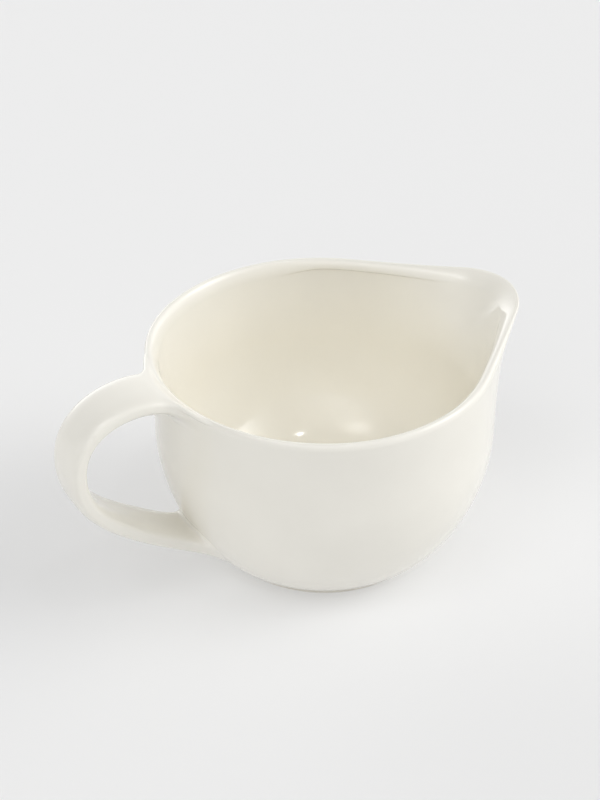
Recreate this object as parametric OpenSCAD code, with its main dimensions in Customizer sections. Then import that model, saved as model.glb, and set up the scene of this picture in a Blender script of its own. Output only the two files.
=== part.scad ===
// Porcelain cream jug: a round bowl with a pulled spout, a strap handle luted on
// with slip at both ends, and an unglazed foot ring.
// Millimetres. Z is up, the spout points along +X and the handle along -X.
// The origin is the centre of the foot ring, on the surface that the jug stands on.

/* [Bowl] */
// Outer radius of the bowl at its widest
bowl_r = 46; // [44:0.5:48]
// Height of the widest part of the bowl
belly_h = 38; // [36:0.5:40]
// Height of the rim at the sides of the bowl
rim_h = 62; // [60:0.5:64]
// Thickness of the wall
wall_t = 3; // [2.6:0.1:3.4]
// Height of the floor inside
floor_h = 7; // [6:0.5:9]
// Radius of the flat part of the floor inside
floor_r = 18; // [14:1:22]

/* [Lip and spout] */
// Thickness of the wall just below the lip's rounding
lip_t = 3.2; // [2.6:0.1:3.6]
// Thickness that the same wall swells to on both sides of the spout's tip
spout_lip_t = 4.8; // [3.6:0.1:5]
// How far the inside of the spout is pinched to a point at its tip
spout_pinch = 1.2; // [0:0.1:1.5]
// Height of the lip's rounding on the outside
lip_outer_h = 1.8; // [1:0.1:2.2]
// Height of the lip's rounding on the inside
lip_inner_h = 4; // [3:0.25:5]
// Height of the same rounding along the spout
spout_lip_h = 2.4; // [1.5:0.1:3]
// How far the lip overhangs the wall inside, beside the spout
lip_bead = 0.6; // [0:0.1:1]
// Distance from the bowl's axis to the spout's tip, before the lip's rounding
spout_reach = 59.7; // [55:0.1:62]
// Radius of the spout's tip, seen from above
spout_r = 18; // [14:0.5:22]
// How far the lip rises towards the spout's tip
spout_rise = 2; // [0:0.1:4]
// How far the lip rises towards the handle
handle_rise = 1; // [0:0.1:2]
// How far below the rim the wall starts to turn out to the spout
flare_h = 22; // [16:1:26]

/* [Foot] */
// Outer radius of the foot ring
foot_r = 29; // [27:0.5:31]
// Radial width of the foot ring
foot_w = 4; // [3:0.25:5]
// Height of the foot ring
foot_h = 2; // [1.5:0.1:2.5]

/* [Handle] */
// Distance from the bowl's axis to the outside of the handle
handle_reach = 77; // [74:0.5:80]
// Thickness of the strap
strap_t = 5; // [4:0.25:5.5]
// Width of the strap at its top end
strap_top_w = 18.5; // [16:0.5:20]
// Width of the strap at its narrowest
strap_waist_w = 13.5; // [12:0.5:15]
// Width of the strap at its lower end
strap_low_w = 16.5; // [15:0.5:18]
// Half the width of the upper joint where it meets the wall and the lip
upper_joint_w = 21; // [18:0.5:23]

/* [Hidden] */

glaze = [0.93, 0.92, 0.88];
bisque = [0.86, 0.83, 0.77];

around = 72;          // facets around the bowl
strap_facets = 24;    // facets around the strap
mouth_r = bowl_r + 0.6;                 // outer radius of the mouth, away from the spout
mouth_x = -1.6;                         // the mouth's circle sits a little towards the handle
lip_crown = 0.4;      // where the lip is highest, as a share of its thickness from the outside
spout_x = spout_reach - spout_r;        // centre of the spout tip's circle
// Angle from +X at which the spout's straight sides leave both circles
side_turn = acos((mouth_r - spout_r) / (spout_x - mouth_x));
side_d = mouth_x * cos(side_turn) + mouth_r;      // distance of that side from the axis
facet_squeeze = 18;   // how much closer together the facets are at the spout
bead_h = 0.5;         // height of the step under the overhanging lip

// ---- curves -------------------------------------------------------------------

function bezier(p, t) = pow(1 - t, 3) * p[0] + 3 * pow(1 - t, 2) * t * p[1]
    + 3 * (1 - t) * t * t * p[2] + t * t * t * p[3];
function bezier_slope(p, t) = 3 * pow(1 - t, 2) * (p[1] - p[0])
    + 6 * (1 - t) * t * (p[2] - p[1]) + 3 * t * t * (p[3] - p[2]);
function unit(v) = v / norm(v);
function mix(a, b, t) = a + (b - a) * t;
function eased(t) = let (k = min(1, max(0, t))) k * k * (3 - 2 * k);

// ---- the bowl's surfaces --------------------------------------------------------

outer_full = 1.93;    // fullness of the bowl's outside below the belly, 2 being an ellipse
inner_full = 2.3;     // the same for the inside

// Radius of a bulging wall at height z, from r0 at z0 up to r1 at the belly
function bulge(z, r0, z0, r1, a, b) = let (k = min(1, max(0, (belly_h - z) / (belly_h - z0))))
    r0 + (r1 - r0) * pow(1 - pow(k, a), 1 / b);
function above_belly(z) = max(0, (z - belly_h) / (rim_h - belly_h));
function outer_r(z) = bulge(z, foot_r, foot_h, bowl_r, outer_full, 1.39)
    + (mouth_r - bowl_r) * pow(above_belly(z), 2);
function inner_r(z) = bulge(z, floor_r, floor_h, bowl_r - wall_t, inner_full, 1.9)
    + (mouth_r - lip_t - bowl_r + wall_t) * pow(above_belly(z), 2);

// Outline of the mouth from above: a circle and the tip's circle, joined by straight sides
function circle_hit(turn, x, r) = x * cos(turn) + sqrt(max(0, r * r - pow(x * sin(turn), 2)));
tip_turn = atan2(spout_r * sin(side_turn), spout_x + spout_r * cos(side_turn));
round_turn = atan2(mouth_r * sin(side_turn), mouth_x + mouth_r * cos(side_turn));
function mouth_outline(turn) = let (t = abs(turn))
    t < tip_turn ? circle_hit(t, spout_x, spout_r)
    : t < round_turn ? side_d / cos(t - side_turn)
    : circle_hit(t, mouth_x, mouth_r);
function lip_width(turn) = let (ahead = max(0, cos(turn)))
    mix(lip_t, spout_lip_t, pow(ahead, 12)) - spout_pinch * pow(ahead, 120);
function near_spout(turn) = eased((80 - abs(turn)) / 20);
// The lip's overhang inside: along the spout's sides, and not at its tip
function overhang(turn) = lip_bead * near_spout(turn) * eased((abs(turn) - 10) / 30);
function inner_lip_h(turn) = mix(lip_inner_h, spout_lip_h, near_spout(turn));
function rim_lift(x) = x > 0 ? spout_rise * pow(x / spout_reach, 4)
    : handle_rise * pow(x / mouth_r, 2);
function flare(z) = pow(max(0, (z - rim_h + flare_h) / flare_h), 2);

// A point of the bowl: radius r and height z on the round shape, turned to the mouth's outline
function bowl_point(turn, r, z, inset) = let (
        share = min(1, flare(z)),
        reach = r + (mouth_outline(turn) - mouth_r - inset) * share,
        x = reach * cos(turn))
    [x, reach * sin(turn), z + rim_lift(x) * share];
function wall_point(turn, z) = bowl_point(turn, outer_r(z), z, 0);

function facet_turn(i) = let (t = 360 * i / around - 180) t - facet_squeeze * sin(t);
function outer_ring(z) = [for (i = [0:around - 1]) wall_point(facet_turn(i), z)];
function inner_point(turn, z) = bowl_point(turn, inner_r(z), z, lip_width(turn) - lip_t - overhang(turn));
function inner_ring(z) = [for (i = [0:around - 1]) inner_point(facet_turn(i), z)];
// The lip's rounding: two quarter ellipses, from the outside at 0 degrees to the inside at 180
function lip_point(turn, a) = let (
        z = rim_h - (a < 90 ? lip_outer_h : inner_lip_h(turn)) * (1 - sin(a)),
        base = rim_h - inner_lip_h(turn),
        thick = outer_r(base) - inner_r(base) + (lip_width(turn) - lip_t) * flare(base),
        crown = thick * lip_crown,
        off = a < 90 ? crown * (1 - cos(a)) : crown - (thick - crown) * cos(a))
    bowl_point(turn, outer_r(z) - off, z, 0);
function lip_ring(a) = [for (i = [0:around - 1]) lip_point(facet_turn(i), a)];
lip_foot = rim_h - lip_outer_h;       // where the wall ends and the lip's rounding starts
lip_arc = 0.8 * (lip_outer_h + lip_t * lip_crown);      // length of the rounding up to its crown
// A point of the outside at height z, where heights above the wall run on over the lip
function outside_point(turn, z) = z < lip_foot ? wall_point(turn, z)
    : lip_point(turn, 90 * (z - lip_foot) / lip_arc);

outer_rings = concat(
    [for (a = [0:7.5:90]) outer_ring(belly_h - (belly_h - foot_h) * pow(cos(a), 2 / outer_full))],
    [for (z = [belly_h + 4:4:rim_h - flare_h + 4]) outer_ring(z)],
    [for (k = [1:6]) outer_ring(mix(rim_h - flare_h + 4, lip_foot, k / 6))]);
inner_rings = concat(
    [[for (i = [0:around - 1]) let (t = facet_turn(i)) inner_point(t, rim_h - inner_lip_h(t) - bead_h)]],
    [for (k = [0:5]) inner_ring(mix(rim_h - lip_inner_h - 2 * bead_h, rim_h - flare_h, k / 6))],
    [for (a = [90:-9:0]) inner_ring(belly_h - (belly_h - floor_h) * pow(cos(a), 2 / inner_full))]);

// Closed skin over rings of equal length, each with its points in the same order
module skin(rings) {
    n = len(rings[0]);
    last = len(rings) - 1;
    polyhedron(
        points = [for (ring = rings) each ring],
        faces = concat(
            [[for (i = [0:n - 1]) i]],
            [for (k = [0:last - 1], i = [0:n - 1]) let (j = (i + 1) % n)
                each [[k * n + i, (k + 1) * n + i, (k + 1) * n + j], [k * n + i, (k + 1) * n + j, k * n + j]]],
            [[for (i = [n - 1:-1:0]) last * n + i]]),
        convexity = 8);
}

// ---- the handle's path and strap --------------------------------------------------

// The strap's middle line in the X-Z plane: up from the wall, over, down, and back to the belly
strap_x = -(handle_reach - strap_t / 2);
top_end = [-(bowl_r - 3.5), rim_h - 6];
crest = [-(bowl_r + 11), rim_h + 2];
outside = [strap_x, rim_h - 14];
low_end = [-(bowl_r - 5.5), belly_h - 24.8];
path = [
    [top_end, top_end + [-3, 6.5], crest + [4.6, 0], crest],
    [crest, crest - [7.8, 0], outside + [0, 11.8], outside],
    [outside, outside - [0, 13.6], low_end + [-24, 14.8], low_end]];
function path_point(u) = bezier(path[min(2, floor(u))], u - min(2, floor(u)));
function path_way(u) = unit(bezier_slope(path[min(2, floor(u))], u - min(2, floor(u))));

strap_from = 0.72;    // where the handle leaves the upper joint, along the path
strap_to = 2.74;      // where it reaches the lower joint
function strap_w(u) = bezier([strap_top_w, strap_waist_w + 2, strap_waist_w - 3.5, strap_low_w], u / 3);
// A cosine or sine bent towards the corners of its square, for a rounded rectangle
function rounded(c, corner) = sign(c) * pow(abs(c), corner);
function strap_ring(u) = let (p = path_point(u), way = path_way(u))
    [for (i = [0:strap_facets - 1]) let (
            a = 360 * i / strap_facets,
            out = strap_t / 2 * rounded(sin(a), 0.6))
        [p[0] + way[1] * out, -strap_w(u) / 2 * rounded(cos(a), 0.6), p[1] - way[0] * out]];

// ---- the two slip joints ------------------------------------------------------------

joint_slope = 0.25;   // how steeply a joint's edge meets the wall
joint_depth = 2;      // how far a joint reaches into the wall before it is cut back

// An oval on the outside of the bowl, round the point above the handle at height z.
// It reaches w each way round the bowl and h up and down, and its two ends turn up by lift.
// With corner at 1 it is an ellipse, and below that it is squarer.
function oval_on_bowl(z, w, h, lift, corner, size) = [for (i = [0:strap_facets - 1]) let (
        a = 360 * i / strap_facets,
        across = w * size * rounded(cos(a), corner),
        up = z + lift * pow(across / w, 2) + h * size * rounded(sin(a), corner))
    outside_point(180 + across / outer_r(z) * 180 / PI, up)];

// The way into the wall from a point of its outside: level on the wall, down on the lip
function into_wall(p) = let (k = 1 - lip_t * lip_crown / norm([p[0], p[1]]))
    unit([p[0] * k, p[1] * k, min(p[2], lip_foot + handle_rise)] - p);

// Rings from the strap's end ring at u to such an oval, and on into the wall. The blend
// leaves along the strap and lands along the bowl's surface.
// way_out is 1 where the strap's path runs to the wall and -1 where it comes from it.
function joint_rings(u, way_out, z, w, h, lift, corner) = let (
        way = path_way(u) * way_out,
        toward = [way[0], 0, way[1]],
        start = strap_ring(u),
        oval = oval_on_bowl(z, w, -h * way_out, lift, corner, 1),
        within = oval_on_bowl(z, w, -h * way_out, lift, corner, 0.9),
        inward = [for (p = oval) into_wall(p)])
    concat(
        [for (t = [0:0.125:1]) [for (i = [0:strap_facets - 1]) let (
                span = norm(oval[i] - start[i]),
                landing = unit(oval[i] - within[i]) + inward[i] * joint_slope)
            bezier([start[i], start[i] + toward * span * 0.45, oval[i] - landing * span * 0.3, oval[i]], t)]],
        [[for (i = [0:strap_facets - 1]) oval[i] + inward[i] * joint_depth]]);
function backwards(rings) = [for (k = [len(rings) - 1:-1:0]) rings[k]];

// The bowl's outside as one filled solid, which the joints are cut back to
module bowl_outside() skin(concat(outer_rings, [for (a = [30:30:90]) lip_ring(a)]));

// ---- sub-parts ------------------------------------------------------------------------

module body() color(glaze)
    skin(concat(outer_rings, [for (a = [30, 60, 90, 110, 130, 150, 165, 180]) lip_ring(a)], inner_rings));

module handle() color(glaze)
    skin([for (k = [0:40]) strap_ring(mix(strap_from, strap_to, k / 40))]);

module upper_handle_joint() color(glaze) difference() {
    skin(backwards(joint_rings(strap_from, -1, rim_h - 3.8, upper_joint_w, 4, 2.6, 1)));
    bowl_outside();
}

module lower_handle_joint() color(glaze) difference() {
    skin(joint_rings(strap_to, 1, 12, 11, 7.3, 0, 0.7));
    bowl_outside();
}

module foot_ring() color(bisque) rotate_extrude($fn = 96)
    polygon([[foot_r - foot_w, 0.4], [foot_r - foot_w + 0.4, 0], [foot_r - 0.8, 0],
        [foot_r, 0.8], [foot_r, foot_h], [foot_r - foot_w, foot_h]]);

body();
handle();
upper_handle_joint();
lower_handle_joint();
foot_ring();
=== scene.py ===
import math

import bpy
import numpy as np
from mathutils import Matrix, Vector


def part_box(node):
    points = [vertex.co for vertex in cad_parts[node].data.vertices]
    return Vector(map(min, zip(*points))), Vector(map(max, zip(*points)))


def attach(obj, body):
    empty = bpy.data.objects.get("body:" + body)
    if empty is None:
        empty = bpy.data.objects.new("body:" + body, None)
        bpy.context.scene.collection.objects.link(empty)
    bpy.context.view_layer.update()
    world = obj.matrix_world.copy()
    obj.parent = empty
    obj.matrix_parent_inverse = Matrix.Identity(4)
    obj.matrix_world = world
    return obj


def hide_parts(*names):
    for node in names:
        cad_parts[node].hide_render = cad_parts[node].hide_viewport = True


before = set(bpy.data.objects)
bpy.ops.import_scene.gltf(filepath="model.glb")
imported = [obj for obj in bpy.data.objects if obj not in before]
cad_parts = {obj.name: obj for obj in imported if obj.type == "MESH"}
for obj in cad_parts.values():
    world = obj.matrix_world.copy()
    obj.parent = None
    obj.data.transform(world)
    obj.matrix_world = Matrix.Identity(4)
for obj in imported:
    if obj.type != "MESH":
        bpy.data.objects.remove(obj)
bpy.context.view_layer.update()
MM = 0.001

# ---- driving sizes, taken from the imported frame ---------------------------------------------

body_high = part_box("body")[1]
foot_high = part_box("foot_ring")[1]
handle_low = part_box("handle")[0]

MOUTH_R = body_high[1] + 0.06 * MM      # the mouth is the widest part across the bowl
BOWL_R = MOUTH_R - 0.6 * MM
SPOUT_REACH = body_high[0] + 0.99 * MM  # before the lip's rounding
RIM_H = body_high[2] - 1.82 * MM        # the lip's crown has risen by this much at the spout's tip
FOOT_R = foot_high[0]
FOOT_H = foot_high[2]
STRAP_T = 5 * MM
STRAP_X = handle_low[0] + STRAP_T / 2   # the strap's middle line at its outermost

# The bowl
BELLY_H = 38 * MM
WALL_T = 3 * MM
FLOOR_H = 7 * MM
FLOOR_R = 18 * MM
OUTER_FULL = 1.93                       # fullness of the outside near the foot, 2 being an ellipse
OUTER_ROUND = 1.39                      # and near the belly
INNER_FULL = 2.3
INNER_ROUND = 1.9

# The mouth and its spout
MOUTH_X = -1.6 * MM
SPOUT_R = 18 * MM
SPOUT_X = SPOUT_REACH - SPOUT_R
SPOUT_RISE = 2 * MM
HANDLE_RISE = 1 * MM
FLARE_H = 22 * MM                       # how far below the rim the spout starts

# The lip
LIP_T = 3.2 * MM                        # the wall's thickness just below the lip's rounding
LIP_OUTER_H = 1.8 * MM                  # height of that rounding outside
LIP_INNER_H = 4 * MM                    # and inside
SPOUT_LIP_H = 2.4 * MM                  # and inside, along the spout
LIP_CROWN = 0.4                         # where the lip is highest, as a share of its thickness
LIP_BEAD = 0.6 * MM                     # how far the lip overhangs the wall inside, beside the spout
BEAD_H = 0.5 * MM
SPOUT_LIP_T = 4.8 * MM                  # thickness that it swells to on both sides of the spout's tip
SPOUT_PINCH = 1.2 * MM                  # thickness that it loses again at the very tip
SWELL_POWER = 12                        # higher is narrower, round the spout
PINCH_POWER = 120
SPOUT_SIDE = math.radians(80)           # past this turn the lip has nothing of the spout's form,
SPOUT_FADE = math.radians(20)           # and all of it this much nearer
TIP_SIDE = math.radians(10)             # the overhang starts at this turn,
TIP_FADE = math.radians(30)             # and is full this much further

# The foot ring
FOOT_W = 4 * MM
FOOT_ROUND = 0.9 * MM                   # rounding of its outer edge
FOOT_EASE = 0.5 * MM                    # and of its inner edge
FOOT_ROUND_RINGS = 8
FOOT_EASE_RINGS = 6


def unit(v):
    return v / np.maximum(np.linalg.norm(v, axis=-1, keepdims=True), 1e-12)


def bezier(p, t):
    """The point at t of the cubic curve with four control points."""
    return (1 - t) ** 3 * p[0] + 3 * (1 - t) ** 2 * t * p[1] + 3 * (1 - t) * t * t * p[2] + t ** 3 * p[3]


def bezier_way(p, t):
    """The unit direction of travel at t."""
    return unit((1 - t) ** 2 * (p[1] - p[0]) + 2 * (1 - t) * t * (p[2] - p[1]) + t * t * (p[3] - p[2]))


def eased(t):
    """A smooth step from 0 to 1 as t goes from 0 to 1."""
    k = np.clip(t, 0, 1)
    return k * k * (3 - 2 * k)


# ---- the bowl's surfaces, by the same rules as the CAD --------------------------------------

def bulge(z, r0, z0, r1, full, belly_round):
    """Radius of a side that swells from r0 at height z0 to r1 at the belly."""
    k = np.clip((BELLY_H - z) / (BELLY_H - z0), 0, 1)
    return r0 + (r1 - r0) * (1 - k ** full) ** (1 / belly_round)


def above_belly(z):
    return np.maximum(0, (z - BELLY_H) / (RIM_H - BELLY_H))


def outer_r(z):
    side = bulge(z, FOOT_R, FOOT_H, BOWL_R, OUTER_FULL, OUTER_ROUND)
    return side + (MOUTH_R - BOWL_R) * above_belly(z) ** 2


def inner_r(z):
    side = bulge(z, FLOOR_R, FLOOR_H, BOWL_R - WALL_T, INNER_FULL, INNER_ROUND)
    return side + (MOUTH_R - LIP_T - BOWL_R + WALL_T) * above_belly(z) ** 2


SIDE_TURN = math.acos((MOUTH_R - SPOUT_R) / (SPOUT_X - MOUTH_X))
SIDE_D = MOUTH_X * math.cos(SIDE_TURN) + MOUTH_R


def circle_hit(turn, x, r):
    """Distance from the axis, at this turn, to a circle of radius r with its middle at x."""
    return x * np.cos(turn) + np.sqrt(np.maximum(0, r * r - (x * np.sin(turn)) ** 2))


def mouth_outline(turn):
    """Distance from the axis to the mouth's outer edge: a circle, two straight sides and the tip's circle."""
    t = np.abs(turn)
    tip = math.atan2(SPOUT_R * math.sin(SIDE_TURN), SPOUT_X + SPOUT_R * math.cos(SIDE_TURN))
    back = math.atan2(MOUTH_R * math.sin(SIDE_TURN), MOUTH_X + MOUTH_R * math.cos(SIDE_TURN))
    side = SIDE_D / np.cos(np.clip(t, tip, back) - SIDE_TURN)
    return np.where(t < tip, circle_hit(t, SPOUT_X, SPOUT_R),
                    np.where(t < back, side, circle_hit(t, MOUTH_X, MOUTH_R)))


def lip_width(turn):
    """The lip's thickness. It swells towards the spout, which is pinched to a point inside."""
    ahead = np.maximum(0, np.cos(turn))
    return LIP_T + (SPOUT_LIP_T - LIP_T) * ahead ** SWELL_POWER - SPOUT_PINCH * ahead ** PINCH_POWER


def near_spout(turn):
    """1 along the spout, and easing to 0 beyond its sides."""
    return eased((SPOUT_SIDE - np.abs(turn)) / SPOUT_FADE)


def overhang(turn):
    """How far the lip overhangs the wall inside: along the spout's sides, and not at its tip."""
    return LIP_BEAD * near_spout(turn) * eased((np.abs(turn) - TIP_SIDE) / TIP_FADE)


def inner_lip_h(turn):
    return LIP_INNER_H + (SPOUT_LIP_H - LIP_INNER_H) * near_spout(turn)


def rim_lift(x):
    """How far the rim rises, towards the spout's tip and towards the handle."""
    return np.where(x > 0, SPOUT_RISE * (x / SPOUT_REACH) ** 4, HANDLE_RISE * (x / MOUTH_R) ** 2)


def flare(z):
    """How much of the mouth's outline a height takes on."""
    return np.clip((z - RIM_H + FLARE_H) / FLARE_H, 0, 1) ** 2


def bowl_point(turn, r, z, inset=0.0):
    """A point of the round bowl, turned towards the mouth's outline as it nears the rim."""
    share = flare(z)
    reach = r + (mouth_outline(turn) - MOUTH_R - inset) * share
    x = reach * np.cos(turn)
    y = reach * np.sin(turn)
    return np.stack(np.broadcast_arrays(x, y, z + rim_lift(x) * share), -1)


def wall_point(turn, z):
    return bowl_point(turn, outer_r(z), z)


def lip_point(turn, a):
    """The lip's rounding: two quarter ellipses, from the outside at 0 to the inside at pi."""
    z = RIM_H - np.where(a < math.pi / 2, LIP_OUTER_H, inner_lip_h(turn)) * (1 - np.sin(a))
    base = RIM_H - inner_lip_h(turn)
    thick = outer_r(base) - inner_r(base) + (lip_width(turn) - LIP_T) * flare(base)
    crown = thick * LIP_CROWN
    off = np.where(a < math.pi / 2, crown * (1 - np.cos(a)), crown - (thick - crown) * np.cos(a))
    return bowl_point(turn, outer_r(z) - off, z)


def inner_point(turn, z, bead=1.0):
    """A point of the inside. The wall is set back under the lip, along the spout."""
    inset = lip_width(turn) - LIP_T - overhang(turn) * bead
    return bowl_point(turn, inner_r(z), z, inset)


LIP_FOOT = RIM_H - LIP_OUTER_H          # where the wall ends and the lip's rounding starts
LIP_ARC = 0.8 * (LIP_OUTER_H + LIP_T * LIP_CROWN)   # about the way from there to the lip's crown


def outside_point(turn, z):
    """A point of the outside at height z, where heights above the wall run on over the lip."""
    over = np.maximum(0, z - LIP_FOOT)
    on_lip = lip_point(turn, math.pi / 2 * over / LIP_ARC)
    return np.where(over[..., None] > 0, on_lip, wall_point(turn, z))


# ---- meshes from rings ----------------------------------------------------------------------

def add_object(name, points, faces):
    """A new object in the scene with this mesh, shaded smooth."""
    mesh = bpy.data.meshes.new(name)
    mesh.from_pydata(points, [], faces)
    mesh.validate()
    mesh.polygons.foreach_set("use_smooth", [True] * len(mesh.polygons))
    obj = bpy.data.objects.new(name, mesh)
    bpy.context.scene.collection.objects.link(obj)
    return obj


def band_faces(bands, count, n):
    """Quads from each of the first rings to the next one, where count rings of n points make a loop."""
    return [[k * n + i, k * n + (i + 1) % n, (k + 1) % count * n + (i + 1) % n, (k + 1) % count * n + i]
            for k in range(bands) for i in range(n)]


def ring_normals(rings):
    """Vertex normals of a skin over closed rings, from central differences."""
    along = np.gradient(rings, axis=0)
    around = np.roll(rings, -1, axis=1) - np.roll(rings, 1, axis=1)
    return unit(np.cross(around, along))


def skin(name, rings, normals=None):
    """A closed mesh over rings of equal length, capped at both ends, with its own normals or given ones."""
    rings = np.asarray(rings)
    count, n = rings.shape[:2]
    first_cap, last_cap = count * n, count * n + 1
    middles = rings[[0, 1, -2, -1]].mean(1)
    faces = band_faces(count - 1, count, n)
    faces += [[first_cap, (i + 1) % n, i] for i in range(n)]
    faces += [[last_cap, (count - 1) * n + i, (count - 1) * n + (i + 1) % n] for i in range(n)]
    obj = add_object(name, np.vstack([rings.reshape(-1, 3), middles[[0, -1]]]).tolist(), faces)
    if normals is not None:
        cap_normals = unit(np.stack([middles[0] - middles[1], middles[3] - middles[2]]))
        obj.data.normals_split_custom_set_from_vertices(
            np.vstack([normals.reshape(-1, 3), cap_normals]).tolist())
    return obj


# ---- the body -------------------------------------------------------------------------------

AROUND = 240
TURN_CROWDING = 0.3                     # points gather towards the spout, where the curves are tight
SIDE_RINGS = 48                         # on each side below the belly, and outside above it
INNER_RINGS = 40                        # inside above the belly
LIP_RINGS = 33
BEAD_RINGS = 8
LEVELLING_RINGS = 4                     # from under the bead to rings that are level
FLOOR_RINGS = 11
LAST_R = 1 * MM                         # radius of the floor's innermost ring
BOUNCE_ATTRIBUTE = "painted_bounce_share"             # name of the point attribute for the painted bounce light: 0 none, 1 full


def side_heights(base, full):
    """Heights from base up to the belly, placed so that rings keep about evenly apart along the curve."""
    return [BELLY_H - (BELLY_H - base) * math.cos(a) ** (2 / full)
            for a in np.linspace(0, math.pi / 2, SIDE_RINGS)]


def make_body():
    even = np.linspace(-math.pi, math.pi, AROUND, endpoint=False)
    turn = even - TURN_CROWDING * np.sin(even)
    lip_edge = RIM_H - inner_lip_h(turn)
    under_bead = lip_edge - BEAD_H
    level = RIM_H - LIP_INNER_H - 2 * BEAD_H
    rings = [wall_point(turn, z) for z in side_heights(FOOT_H, OUTER_FULL)]
    rings += [wall_point(turn, z) for z in np.linspace(BELLY_H, LIP_FOOT, SIDE_RINGS)[1:-1]]
    crown = len(rings) + LIP_RINGS // 2
    rings += [lip_point(turn, a) for a in np.linspace(0, math.pi, LIP_RINGS)]
    rings += [inner_point(turn, lip_edge - BEAD_H * t, (1 - math.cos(math.pi * t)) / 2)
              for t in np.linspace(0, 1, BEAD_RINGS + 1)[1:]]
    rings += [inner_point(turn, under_bead + (level - under_bead) * t)
              for t in np.linspace(0, 1, LEVELLING_RINGS + 2)[1:-1]]
    rings += [inner_point(turn, z) for z in np.linspace(level, BELLY_H, INNER_RINGS)[:-1]]
    belly = len(rings)
    rings += [inner_point(turn, z) for z in side_heights(FLOOR_H, INNER_FULL)[::-1]]
    rings += [bowl_point(turn, r, FLOOR_H) for r in np.linspace(FLOOR_R, LAST_R, FLOOR_RINGS + 1)[1:]]
    body = skin("glazed_body", rings)
    # Share of the painted bounce light: none outside or over the lip, rising down the inside to full at the
    # belly and below
    depth = np.clip((np.arange(len(rings)) - crown) / (belly - crown), 0, 1)
    caps = [0, 1]
    attribute = body.data.attributes.new(BOUNCE_ATTRIBUTE, "FLOAT", "POINT")
    attribute.data.foreach_set("value", np.append(np.repeat(depth, AROUND), caps))
    return body


# ---- the handle and its two slip joints -----------------------------------------------------

def shifted(p, x, z):
    """The point that is x and z millimetres on from p."""
    return p + np.array([x, z]) * MM


# Places on the strap's middle line are x and z, at y = 0.
TOP_END = np.array([-BOWL_R + 3.5 * MM, RIM_H - 6 * MM])
CREST = np.array([-BOWL_R - 11 * MM, RIM_H + 2 * MM])
OUTSIDE = np.array([STRAP_X, RIM_H - 14 * MM])
LOW_END = np.array([-BOWL_R + 5.5 * MM, BELLY_H - 24.8 * MM])
PATH = [
    (TOP_END, shifted(TOP_END, -3, 6.5), shifted(CREST, 4.6, 0), CREST),
    (CREST, shifted(CREST, -7.8, 0), shifted(OUTSIDE, 0, 11.8), OUTSIDE),
    (OUTSIDE, shifted(OUTSIDE, 0, -13.6), shifted(LOW_END, -24, 14.8), LOW_END),
]
STRAP_FROM = 0.72                       # the strap's own stretch of the path, counting 1 for each curve
STRAP_TO = 2.74
STRAP_W = np.array([18.5, 15.5, 10, 16.5]) * MM     # control values of its width, over the whole path
STRAP_CORNER = 0.6
STRAP_RINGS = 140
STRAP_POINTS = 128

# Each joint's oval on the bowl: height of its middle, half its width, half its height, how far its
# two sides are raised, and how square it is.
UPPER_OVAL = LIP_FOOT + LIP_ARC - 3.9 * MM, 20 * MM, 4.3 * MM, 2.2 * MM, 1
LOWER_OVAL = 12 * MM, 11 * MM, 7.3 * MM, 0, 0.7
OVER_CROWN = 1.15                       # how far an oval may run over the lip, 1 being its crown
BLEND_RINGS = 28                        # from the strap to a joint's edge
LEAD_SHARE = 0.35                       # share of each point's span that keeps to the strap's way,
LEAD_LEAST = 0.1                        # and the share of the shortest span that all of them add
LANDING_SHARE = 0.24                    # share of each span that runs along the wall
LANDING_DIP = 0.04                      # how steeply it does so
EDGE_STEP = 0.1 * MM                    # how far apart the two ovals are that show which way is out
EDGE_DEPTH = 0.03 * MM                  # how deep in the wall a joint's edge is,
UNDER_DEPTH = 0.8 * MM                  # and its hidden underside
UNDER_RINGS = 12
UNDER_SMALLEST = 0.04


def rounded(c, corner):
    """A cosine or sine bent towards the corners of its square: 1 is a circle, less is squarer."""
    return np.sign(c) * np.abs(c) ** corner


def strap_turns():
    return np.linspace(0, 2 * math.pi, STRAP_POINTS, endpoint=False)


def strap_place(u):
    """The middle of the strap at u along its path, and its way of travel there."""
    k = min(2, int(u))
    return bezier(PATH[k], u - k), bezier_way(PATH[k], u - k)


def strap_section(u):
    """One ring of the strap at u along its path: a rounded rectangle across the way of travel."""
    p, way = strap_place(u)
    a = strap_turns()
    out = STRAP_T / 2 * rounded(np.sin(a), STRAP_CORNER)
    across = -bezier(STRAP_W, u / 3) / 2 * rounded(np.cos(a), STRAP_CORNER)
    return np.stack([p[0] + way[1] * out, across, p[1] - way[0] * out], -1)


def oval_on_bowl(z, w, h, lift, corner, back=0.0):
    """An oval on the outside of the bowl, on the handle's side, with its middle at height z.

    It stops just over the lip's crown. Its points are set back into the oval by the distance back.
    Gives the points, the bowl's own normals there, and the way from there into the wall.
    """
    a = strap_turns()
    across = w * rounded(np.cos(a), corner)
    up = z + lift * np.cos(a) ** 2 + h * rounded(np.sin(a), corner)
    inward = unit(np.stack([np.cos(a) / w, np.sin(a) / h], -1)) * back
    turn = math.pi + (across - inward[:, 0]) / outer_r(z)
    up = np.minimum(up, LIP_FOOT + LIP_ARC * OVER_CROWN) - inward[:, 1]
    points = outside_point(turn, up)
    step = 0.05 * MM
    round_it = outside_point(turn + step / BOWL_R, up) - outside_point(turn - step / BOWL_R, up)
    up_it = outside_point(turn, up + step) - outside_point(turn, up - step)
    middle = wall_point(turn, np.minimum(up, LIP_FOOT))
    middle[:, :2] *= 1 - LIP_T / 2 / np.hypot(middle[:, :1], middle[:, 1:2])
    return points, unit(np.cross(round_it, up_it)), unit(middle - points)


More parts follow.
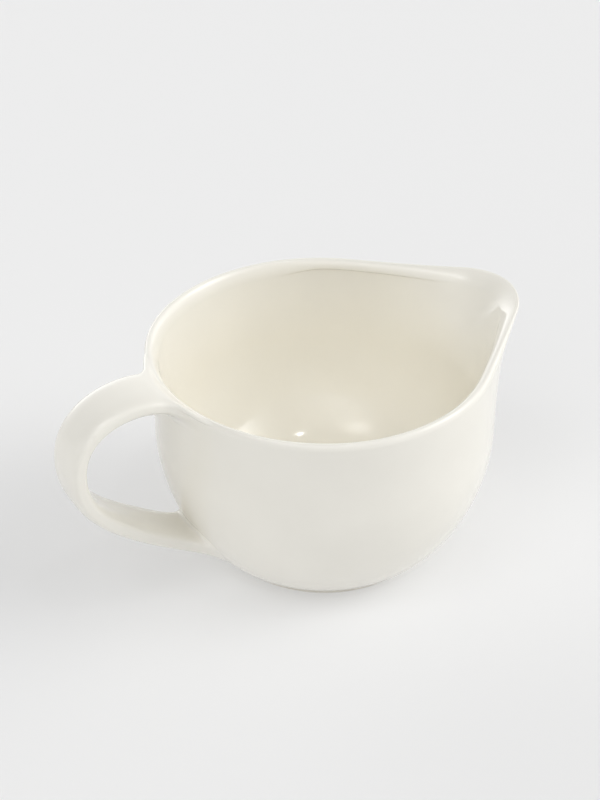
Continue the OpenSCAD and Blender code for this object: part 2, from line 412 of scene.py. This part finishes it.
def joint_rings(u, way_out, z, w, h, lift, corner):
    """Rings from the strap's end at u to an oval on the bowl, and on beneath it to its middle.

    They leave the strap and reach the bowl without a crease. The way out is -1 at the strap's start
    and 1 at its far end. Gives the rings, and the normals at the joint's edge.
    """
    way = strap_place(u)[1] * way_out
    toward = np.array([way[0], 0, way[1]])
    start = strap_section(u)
    oval, edge_normals, inward = oval_on_bowl(z, w, -h * way_out, lift, corner)
    within = oval_on_bowl(z, w, -h * way_out, lift, corner, EDGE_STEP)[0]
    span = np.linalg.norm(oval - start, axis=1, keepdims=True)
    lead = span * LEAD_SHARE + span.min() * LEAD_LEAST
    landing = (unit(oval - within) + inward * LANDING_DIP) * span * LANDING_SHARE
    curve = [start, start + toward * lead, oval - landing, oval + inward * EDGE_DEPTH]
    rings = [bezier(curve, t) for t in np.linspace(0, 1, BLEND_RINGS)]
    for size in np.linspace(1, UNDER_SMALLEST, UNDER_RINGS):
        under, _, inward = oval_on_bowl(z, w * size, -h * size * way_out, lift * size * size, corner)
        rings.append(under + inward * UNDER_DEPTH)
    return rings, edge_normals


def make_handle():
    """The strap and the two joints are one run of rings, shaded as one and then cut into three pieces."""
    upper, upper_edge = joint_rings(STRAP_FROM, -1, *UPPER_OVAL)
    lower, lower_edge = joint_rings(STRAP_TO, 1, *LOWER_OVAL)
    strap = [strap_section(u) for u in np.linspace(STRAP_FROM, STRAP_TO, STRAP_RINGS)]
    run = np.array(upper[:0:-1] + strap + lower[1:])
    normals = ring_normals(run)
    normals[len(upper) - BLEND_RINGS] = upper_edge      # a joint's edge is shaded like the bowl there
    normals[len(run) - len(lower) + BLEND_RINGS - 1] = lower_edge
    first, last = len(upper) - 1, len(upper) + len(strap) - 2
    return [skin(name, run[i:j + 1], normals[i:j + 1])
            for name, i, j in (("upper_slip_joint", 0, first), ("strap_handle", first, last),
                               ("lower_slip_joint", last, len(run) - 1))]


def make_foot_ring():
    """The standing ring: rounded outside, eased inside, with a flat to stand on."""
    a = np.linspace(-math.pi, math.pi, AROUND, endpoint=False)
    inner = FOOT_R - FOOT_W
    outline = [(inner, FOOT_H), (inner, FOOT_EASE)]
    outline += [(inner + FOOT_EASE * (1 - math.cos(t)), FOOT_EASE * (1 - math.sin(t)))
                for t in np.linspace(0, math.pi / 2, FOOT_EASE_RINGS)[1:]]
    outline += [(FOOT_R - FOOT_ROUND + FOOT_ROUND * math.sin(t), FOOT_ROUND * (1 - math.cos(t)))
                for t in np.linspace(0, math.pi / 2, FOOT_ROUND_RINGS)]
    outline += [(FOOT_R, FOOT_H)]
    points = []
    for r, z in outline:
        points += np.stack([r * np.cos(a), r * np.sin(a), np.full(AROUND, z)], -1).tolist()
    return add_object("standing_ring", points, band_faces(len(outline), len(outline), AROUND))


# ---- materials ------------------------------------------------------------------------------

# Colours are linear. Each pair is the range that a surface drifts over.
OUTER_GLAZE = (0.855, 0.834, 0.767), (0.875, 0.854, 0.787)
# Paler and warmer inside the bowl: painted bounce light
BOUNCE_LIT_GLAZE = (0.914, 0.882, 0.792), (0.932, 0.903, 0.816)
GLAZE_ROUGHNESS = 0.06, 0.13
GLAZE_IOR = 1.5
BISQUE = (0.70, 0.67, 0.60), (0.80, 0.77, 0.70)
BISQUE_ROUGHNESS = 0.75, 0.95
DRIFT_ENDS = 0.3, 0.7                   # noise at which a pair's first and second colour are reached

# Noise: its scale, in cells a metre, and its detail. A bump has its strength and depth as well.
OUTER_PATCHES = 60, 3
BOUNCE_LIT_PATCHES = 45, 3
GLAZE_WAVES = (70, 1), (0.10, 1.2 * MM)
ORANGE_PEEL = (420, 1), (0.06, 0.2 * MM)
BISQUE_GRAIN = (900, 6), (0.4, 0.2 * MM)

MIX_SHARE, MIX_FIRST, MIX_SECOND, MIX_RESULT = 0, 6, 7, 2   # a colour mix node's sockets


def feed(tree, socket, source):
    """Links a socket from another node's output, or sets it to a value."""
    if isinstance(source, bpy.types.NodeSocket):
        tree.links.new(source, socket)
    else:
        socket.default_value = source


def add_node(tree, kind, inputs):
    """A new node with these inputs, each a value or another node's output."""
    node = tree.nodes.new(kind)
    for name, source in inputs.items():
        feed(tree, node.inputs[name], source)
    return node


def new_material(name):
    """A material, with its node tree and its shader."""
    mat = bpy.data.materials.new(name)
    mat.use_nodes = True
    return mat, mat.node_tree, mat.node_tree.nodes["Principled BSDF"]


def own_place(tree):
    """The object's own coordinates, by which every pattern is laid."""
    return tree.nodes.new("ShaderNodeTexCoord").outputs["Object"]


def add_noise(tree, where, scale, detail):
    inputs = {"Vector": where, "Scale": scale, "Detail": detail}
    return add_node(tree, "ShaderNodeTexNoise", inputs).outputs["Fac"]


def add_drift(tree, noise, colours):
    """Soft patches between two colours."""
    ramp = add_node(tree, "ShaderNodeValToRGB", {"Fac": noise})
    for element, position, colour in zip(ramp.color_ramp.elements, DRIFT_ENDS, colours):
        element.position = position
        element.color = (*colour, 1)
    return ramp.outputs["Color"]


def add_range(tree, noise, limits):
    inputs = {"Value": noise, "To Min": limits[0], "To Max": limits[1]}
    return add_node(tree, "ShaderNodeMapRange", inputs).outputs["Result"]


def add_bump(tree, height, strength, depth):
    return add_node(tree, "ShaderNodeBump", {"Height": height, "Strength": strength, "Distance": depth})


def glaze_material():
    """Cream glaze with a soft uneven gloss, paler and warmer inside the bowl: painted bounce light."""
    mat, tree, shader = new_material("cream_glaze")
    where = own_place(tree)
    patches = add_noise(tree, where, *OUTER_PATCHES)
    bounce_patches = add_noise(tree, where, *BOUNCE_LIT_PATCHES)
    # The attribute mixes in the inside's paler, warmer colour, a painted bounce light
    painted_bounce_share = tree.nodes.new("ShaderNodeAttribute")
    painted_bounce_share.attribute_name = BOUNCE_ATTRIBUTE
    mix = tree.nodes.new("ShaderNodeMix")
    mix.data_type = "RGBA"
    feed(tree, mix.inputs[MIX_SHARE], painted_bounce_share.outputs["Fac"])
    feed(tree, mix.inputs[MIX_FIRST], add_drift(tree, patches, OUTER_GLAZE))
    feed(tree, mix.inputs[MIX_SECOND], add_drift(tree, bounce_patches, BOUNCE_LIT_GLAZE))
    waves, peel = (add_bump(tree, add_noise(tree, where, *noise), *bump)
                   for noise, bump in (GLAZE_WAVES, ORANGE_PEEL))
    feed(tree, peel.inputs["Normal"], waves.outputs["Normal"])
    feed(tree, shader.inputs["Base Color"], mix.outputs[MIX_RESULT])
    feed(tree, shader.inputs["Roughness"], add_range(tree, patches, GLAZE_ROUGHNESS))
    feed(tree, shader.inputs["Normal"], peel.outputs["Normal"])
    feed(tree, shader.inputs["IOR"], GLAZE_IOR)
    return mat


def bisque_material():
    """Bare fired clay: matt, with a fine sandy grain."""
    mat, tree, shader = new_material("bare_bisque")
    noise, bump = BISQUE_GRAIN
    grain = add_noise(tree, own_place(tree), *noise)
    feed(tree, shader.inputs["Base Color"], add_drift(tree, grain, BISQUE))
    feed(tree, shader.inputs["Roughness"], add_range(tree, grain, BISQUE_ROUGHNESS))
    feed(tree, shader.inputs["Normal"], add_bump(tree, grain, *bump).outputs["Normal"])
    return mat


# ---- putting the jug together ---------------------------------------------------------------

glaze = glaze_material()
bisque = bisque_material()
body = make_body()
upper_joint, strap, lower_joint = make_handle()
standing_ring = make_foot_ring()

for piece, node, material, slot in (
        (body, "body", glaze, "glaze"),
        (strap, "handle", glaze, "glaze"),
        (upper_joint, "upper_handle_joint", glaze, "glaze"),
        (lower_joint, "lower_handle_joint", glaze, "glaze"),
        (standing_ring, "foot_ring", bisque, "bisque")):
    piece.data.materials.append(material)
    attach(piece, "root")
    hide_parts(node)

# ---- the stage ------------------------------------------------------------------------------

FLOOR_HALF = 4.0                        # half its side, in metres
FLOOR_TONE = 0.54
FLOOR_GLOW = 0.30                       # the floor is a little self-lit, which keeps its shadows pale
BACKDROP = 0.855

# Broad soft windows all round: azimuth, elevation, level and how narrow each one is.
# Azimuth 0 is in front, along -Y, and 90 is at +X.
WINDOWS = {
    "key": (60, 35, 6.0, 25),
    "key_spill": (45, 35, 0.6, 8),
    "behind": (180, 5, 3.2, 8),
    "right": (97, 5, 2.0, 8),
    "front_left": (315, 35, 1.6, 8),
    "left": (255, 8, 1.2, 16),
    "overhead_left": (293, 60, 0.9, 12),
    "skylight": (283, 61, 3.5, 110),
    "small_lamp": (18, 73, 40, 3000),
}

CAMERA_WAY = -30, 34.5                  # azimuth and elevation, from the front and past the handle
CAMERA_AIM = Vector((-2.5, 8.9, 39.3)) * MM
CAMERA_DISTANCE = 520.5 * MM
CAMERA_LENS = 85.5                      # in millimetres, as is the sensor's width
CAMERA_SENSOR = 36

scene = bpy.context.scene


def way_to(azimuth, elevation):
    """The unit vector towards something at these degrees, which count as in WINDOWS."""
    a, e = math.radians(azimuth), math.radians(elevation)
    return math.sin(a) * math.cos(e), -math.cos(a) * math.cos(e), math.sin(e)


def make_floor():
    h = FLOOR_HALF
    floor = add_object("floor", [(-h, -h, 0), (h, -h, 0), (h, h, 0), (-h, h, 0)], [(0, 1, 2, 3)])
    mat, tree, shader = new_material("pale_floor")
    feed(tree, shader.inputs["Base Color"], (FLOOR_TONE, FLOOR_TONE, FLOOR_TONE, 1))
    feed(tree, shader.inputs["Roughness"], 0.9)
    feed(tree, shader.inputs["Specular IOR Level"], 0.1)
    feed(tree, shader.inputs["Emission Color"], (1, 1, 1, 1))
    feed(tree, shader.inputs["Emission Strength"], FLOOR_GLOW)
    floor.data.materials.append(mat)


def make_world():
    """The studio: the sum of the windows, each of which fades out with the angle from its middle.

    Seen directly, past the floor's far edge, the studio is as pale as the floor.
    """
    world = bpy.data.worlds.new("studio")
    world.use_nodes = True
    tree = world.node_tree
    where = tree.nodes.new("ShaderNodeTexCoord").outputs["Generated"]

    def maths(operation, first, second):
        node = tree.nodes.new("ShaderNodeMath")
        node.operation = operation
        feed(tree, node.inputs[0], first)
        feed(tree, node.inputs[1], second)
        return node.outputs[0]

    total = 0.0
    for name, (azimuth, elevation, level, narrow) in WINDOWS.items():
        facing = tree.nodes.new("ShaderNodeVectorMath")
        facing.operation = "DOT_PRODUCT"
        facing.label = name
        feed(tree, facing.inputs[0], where)
        feed(tree, facing.inputs[1], way_to(azimuth, elevation))
        fade = maths("MULTIPLY", maths("SUBTRACT", facing.outputs["Value"], 1.0), narrow)
        total = maths("ADD", maths("MULTIPLY", maths("POWER", math.e, fade), level), total)
    seen = tree.nodes.new("ShaderNodeLightPath").outputs["Is Camera Ray"]
    lit = maths("MULTIPLY", total, maths("SUBTRACT", 1.0, seen))
    background = tree.nodes["Background"]
    feed(tree, background.inputs["Strength"], maths("ADD", lit, maths("MULTIPLY", seen, BACKDROP)))
    feed(tree, background.inputs["Color"], (1, 1, 1, 1))
    scene.world = world


def make_camera():
    back = Vector(way_to(*CAMERA_WAY))
    data = bpy.data.cameras.new("camera")
    data.sensor_width = CAMERA_SENSOR
    data.lens = CAMERA_LENS
    data.clip_start = 0.01
    data.clip_end = 20
    camera = bpy.data.objects.new("camera", data)
    camera.location = CAMERA_AIM + back * CAMERA_DISTANCE
    camera.rotation_mode = "QUATERNION"
    camera.rotation_quaternion = (-back).to_track_quat("-Z", "Y")
    scene.collection.objects.link(camera)
    scene.camera = camera


make_floor()
make_world()
make_camera()
scene.view_settings.view_transform = "Standard"
